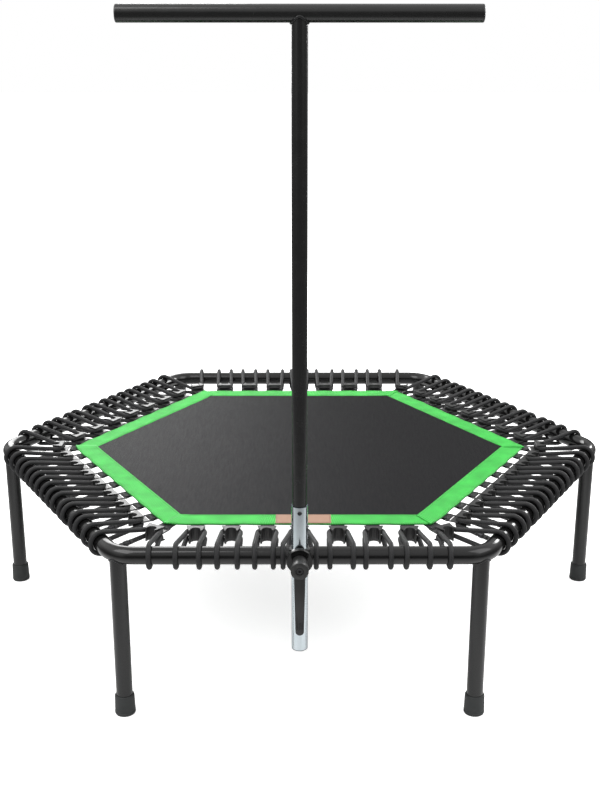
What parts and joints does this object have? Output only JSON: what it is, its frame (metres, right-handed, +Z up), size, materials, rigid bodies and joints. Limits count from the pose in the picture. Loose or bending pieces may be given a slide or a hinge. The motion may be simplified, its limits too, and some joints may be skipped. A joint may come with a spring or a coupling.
{
  "type": "mini trampoline",
  "caption": "Free-standing hexagonal mini trampoline: tube frame on screw-in legs, woven mat held by elastic cord rings, and a T-handle clamped to the front rail.",
  "frame": {"origin": "on the floor, under the middle of the whole object's box", "axes": "+Z up, +X to the right seen from the handle side, -Y towards the side where the T-handle is clamped"},
  "size_m": [1.3194, 1.2533, 1.2305],
  "materials": {
    "frame_paint": "satin black powder coat",
    "handle_paint": "satin black powder coat",
    "zinc_plate": "bright zinc plating",
    "foot_rubber": "dark grey rubber",
    "liner_plastic": "black nylon",
    "pad_brass": "turned brass",
    "spring_steel": "plated steel",
    "lever_casting": "fine-textured dark grey coating on a die casting",
    "cap_plastic": "black moulded plastic",
    "mat_fabric": "tightly woven charcoal polypropylene",
    "border_webbing": "ribbed bright green webbing",
    "label_fabric": "tan woven label, blank",
    "strap_webbing": "black webbing",
    "anchor_plastic": "dark moulded plastic",
    "cord_sheath": "braided dark sheath over rubber strands"
  },
  "bodies": {
    "frame": {"rail_front": "frame_paint", "rail_front_right": "frame_paint", "rail_back_right": "frame_paint", "rail_back": "frame_paint", "rail_back_left": "frame_paint", "rail_front_left": "frame_paint", "bend_front_right": "frame_paint", "bend_right": "frame_paint", "bend_back_right": "frame_paint", "bend_back_left": "frame_paint", "bend_left": "frame_paint", "bend_front_left": "frame_paint", "leg_front_right": "frame_paint", "leg_right": "frame_paint", "leg_back_right": "frame_paint", "leg_back_left": "frame_paint", "leg_left": "frame_paint", "leg_front_left": "frame_paint", "foot_front_right": "foot_rubber", "foot_right": "foot_rubber", "foot_back_right": "foot_rubber", "foot_back_left": "foot_rubber", "foot_left": "foot_rubber", "foot_front_left": "foot_rubber", "leg_sockets": "frame_paint", "leg_studs": "zinc_plate", "clamp_collar": "frame_paint", "clamp_boss": "frame_paint", "rings_front": "cord_sheath", "rings_front_right": "cord_sheath", "rings_back_right": "cord_sheath", "rings_back": "cord_sheath", "rings_back_left": "cord_sheath", "rings_front_left": "cord_sheath", "rings_corner": "cord_sheath", "ring_crimps": "spring_steel"},
    "mat_edge": {"border_front": "border_webbing", "border_front_right": "border_webbing", "border_back_right": "border_webbing", "border_back": "border_webbing", "border_back_left": "border_webbing", "border_front_left": "border_webbing", "blank_label": "label_fabric", "mat_straps": "strap_webbing", "ring_anchors": "anchor_plastic"},
    "mat": {"jumping_mat": "mat_fabric"},
    "liner": {"collar_liner": "liner_plastic"},
    "handle": {"lower_tube": "zinc_plate", "tube_plug": "cap_plastic", "upper_pole": "handle_paint", "cross_bar": "handle_paint", "bar_end_caps": "cap_plastic", "button_spring": "spring_steel"},
    "button": {"snap_button": "spring_steel"},
    "pad": {"clamp_pad": "pad_brass"},
    "core": {"lever_core": "spring_steel", "lever_screw": "spring_steel", "lever_spring": "spring_steel"},
    "lever": {"clamp_lever": "lever_casting"}
  },
  "joints": [
    {"name": "mat_edge_drop", "type": "slide", "parent": "frame", "child": "mat_edge", "axis": [0, 0, 1], "range_m": [-0.03, 0], "deforming": ["rings_front", "rings_front_right", "rings_back_right", "rings_back", "rings_back_left", "rings_front_left", "rings_corner", "ring_crimps"]},
    {"name": "mat_bounce", "type": "slide", "parent": "mat_edge", "child": "mat", "axis": [0, 0, 1], "range_m": [-0.12, 0], "stiffness_N_per_m": 4000},
    {"name": "handle_swivel", "type": "hinge", "parent": "frame", "child": "liner", "pos_m": [0, -0.55872, 0.33], "axis": [0, 0, 1], "continuous": true},
    {"name": "handle_height", "type": "slide", "parent": "liner", "child": "handle", "axis": [0, 0, 1], "range_m": [-0.055, 0.13]},
    {"name": "button_press", "type": "slide", "parent": "handle", "child": "button", "axis": [0, 1, 0], "range_m": [0, 0.003], "stiffness_N_per_m": 2000, "springref_m": -0.001, "deforming": ["button_spring"]},
    {"name": "pad_press", "type": "slide", "parent": "frame", "child": "pad", "axis": [0, -1, 0], "range_m": [0, 0.0008]},
    {"name": "lever_turn", "type": "hinge", "parent": "pad", "child": "core", "pos_m": [0, -0.55872, 0.333], "axis": [0, -1, 0], "range_deg": [0, 180]},
    {"name": "lever_lift", "type": "slide", "parent": "core", "child": "lever", "axis": [0, -1, 0], "range_m": [0, 0.005], "stiffness_N_per_m": 800, "springref_m": -0.004, "deforming": ["lever_spring"]}
  ],
  "couplings": [
    {"joint": "mat_edge_drop", "follows": "mat_bounce", "ratio": 0.25},
    {"joint": "pad_press", "follows": "lever_turn", "m_per_rad": 0.00023873}
  ]
}
